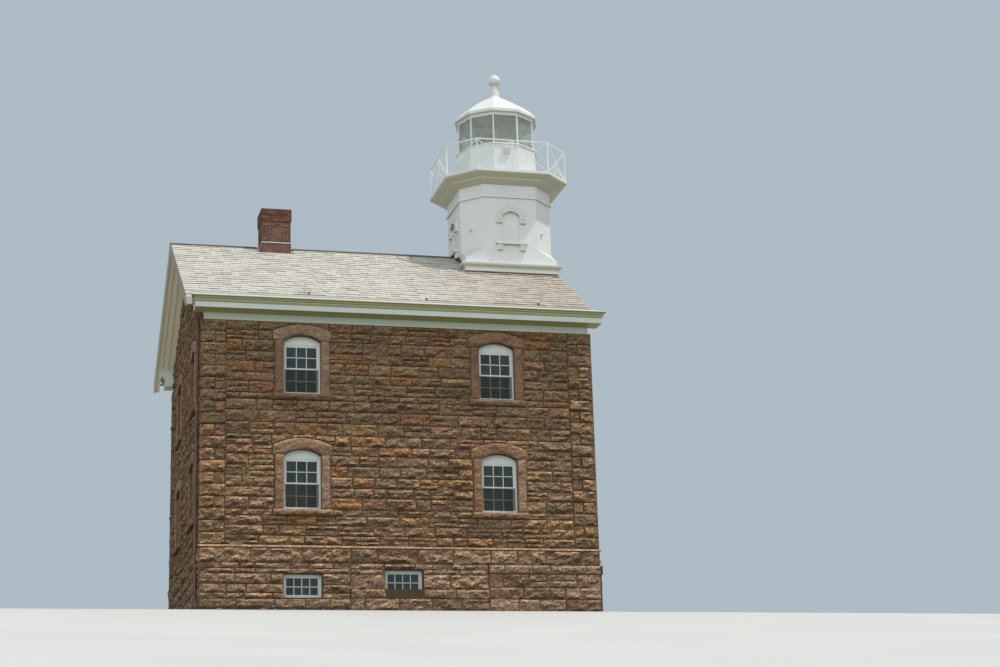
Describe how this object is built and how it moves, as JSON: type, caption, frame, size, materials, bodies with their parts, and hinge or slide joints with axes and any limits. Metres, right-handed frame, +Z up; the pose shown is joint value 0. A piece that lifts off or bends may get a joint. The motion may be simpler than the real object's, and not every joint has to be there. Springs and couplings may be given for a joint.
{
  "type": "lighthouse",
  "caption": "Granite keeper's house with a slate gable roof and a white lighthouse tower with gallery and lantern rising from one end of its ridge.",
  "frame": {"origin": "Middle of the house's plan at the lowest ground, on the underside of the cellar floor.", "axes": "X runs along the house towards the tower, -Y is the front with the cellar windows, +Z is up."},
  "size_m": [10.989, 9.381, 16.172],
  "materials": {
    "granite_walls": "rough split granite, brown and pink courses",
    "dressed_stone": "dressed pinkish granite, weathered",
    "white_joinery": "white gloss paint on timber",
    "window_panes": "clear old window glass",
    "door_paint": "white paint on timber panels",
    "cellar_concrete": "worn cement floor",
    "floor_timber": "plain boarded floor",
    "roof_slates": "thin weathered slates, cream, pink and grey",
    "copper_sheet": "brown weathered copper sheet",
    "eave_paint": "white paint, weathered",
    "rake_paint": "beige paint on boards",
    "chimney_brick": "red-brown brick in lime mortar",
    "tower_paint": "white paint, a little chalky",
    "rail_paint": "white paint on iron bars"
  },
  "bodies": {
    "root": {"foundation_front": "granite_walls", "foundation_back": "granite_walls", "foundation_left": "granite_walls", "foundation_right": "granite_walls", "front_wall": "granite_walls", "back_wall": "granite_walls", "left_gable_wall": "granite_walls", "right_gable_wall": "granite_walls", "door_stoop": "granite_walls", "window_lintels": "dressed_stone", "window_jambs": "dressed_stone", "window_sills": "dressed_stone", "window_frames": "white_joinery", "upper_sashes": "white_joinery", "lower_sashes": "white_joinery", "door_frame": "white_joinery", "window_glass": "window_panes", "lantern_glass": "window_panes", "entrance_door": "door_paint", "cellar_floor": "cellar_concrete", "ground_floor": "floor_timber", "upper_floor": "floor_timber", "attic_floor": "floor_timber", "roof_front": "roof_slates", "roof_back": "roof_slates", "ridge_cap": "copper_sheet", "chimney_flashing": "copper_sheet", "tower_flashing": "copper_sheet", "rainwater_pipe": "copper_sheet", "front_cornice": "eave_paint", "back_cornice": "eave_paint", "left_rake_boards": "rake_paint", "right_rake_boards": "rake_paint", "chimney_stack": "chimney_brick", "chimney_cap": "chimney_brick", "tower_pedestal": "tower_paint", "tower_shaft": "tower_paint", "tower_window_trim": "tower_paint", "gallery_soffit": "tower_paint", "gallery_deck": "tower_paint", "lantern_parapet": "tower_paint", "lantern_frame": "tower_paint", "lantern_roof": "tower_paint", "ventilator": "tower_paint", "railing_front": "rail_paint", "railing_right": "rail_paint", "railing_back": "rail_paint", "railing_left": "rail_paint", "railing_corners": "rail_paint", "railing_posts": "rail_paint"}
  },
  "joints": []
}
